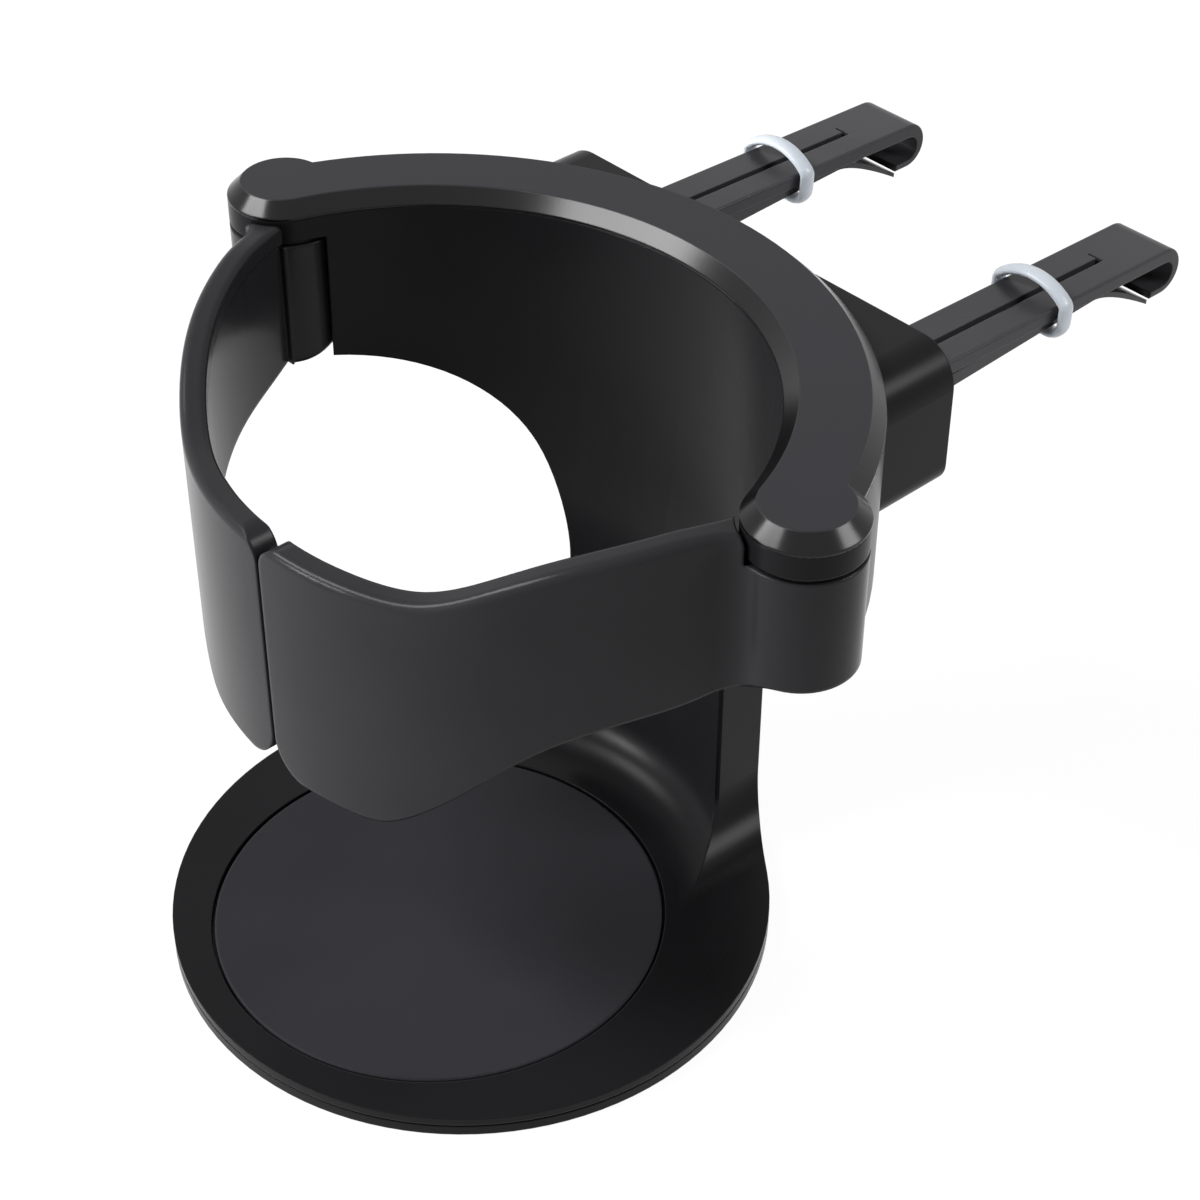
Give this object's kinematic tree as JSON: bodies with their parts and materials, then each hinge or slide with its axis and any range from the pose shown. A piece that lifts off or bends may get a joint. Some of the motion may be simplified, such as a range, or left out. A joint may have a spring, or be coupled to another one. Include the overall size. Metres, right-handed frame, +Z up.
{
  "type": "car cup holder",
  "caption": "Ring cup holder on a round tray, with sprung side arms and slotted clips with silicone rings that hook onto a car's air vent.",
  "frame": {"origin": "on the axis of the cup bore, on the underside of the tray", "axes": "+Z up along the cup's axis, +Y toward the vent, +X to the right seen from the front"},
  "size_m": [0.098, 0.1303, 0.0805],
  "materials": {
    "body": "satin black",
    "cover": "satin dark grey",
    "pad": "matt",
    "arms": "satin dark grey",
    "pins": "turned",
    "washers": "matt",
    "springs": "drawn wire",
    "clips": "satin dark grey",
    "silicone": "translucent silicone",
    "screws": "zinc plated"
  },
  "bodies": {
    "holder": {"main_body": "body", "top_cover": "cover", "base_pad": "pad", "left_hinge_pin": "pins", "right_hinge_pin": "pins", "left_hinge_washer": "washers", "right_hinge_washer": "washers", "left_torsion_spring": "springs", "right_torsion_spring": "springs", "left_vent_clip": "clips", "right_vent_clip": "clips", "clip_screws": "screws"},
    "left_arm_body": {"left_arm": "arms"},
    "right_arm_body": {"right_arm": "arms"},
    "left_ring_body": {"left_clip_ring": "silicone"},
    "right_ring_body": {"right_clip_ring": "silicone"}
  },
  "joints": [
    {"name": "left_arm_hinge", "type": "hinge", "parent": "holder", "child": "left_arm_body", "pos_m": [-0.0424, 0.0147, 0.0682], "axis": [0, 0, -1], "range_deg": [0, 40], "stiffness_Nm_per_rad": 0.08, "springref_deg": -28.65},
    {"name": "right_arm_hinge", "type": "hinge", "parent": "holder", "child": "right_arm_body", "pos_m": [0.0424, 0.0147, 0.0682], "axis": [0, 0, 1], "range_deg": [0, 40], "stiffness_Nm_per_rad": 0.08, "springref_deg": -28.65},
    {"name": "left_ring_slide", "type": "slide", "parent": "holder", "child": "left_ring_body", "axis": [0, 0.9994, -0.0349], "range_m": [-0.003, 0.006]},
    {"name": "right_ring_slide", "type": "slide", "parent": "holder", "child": "right_ring_body", "axis": [0, 0.9994, -0.0349], "range_m": [-0.003, 0.006]}
  ]
}
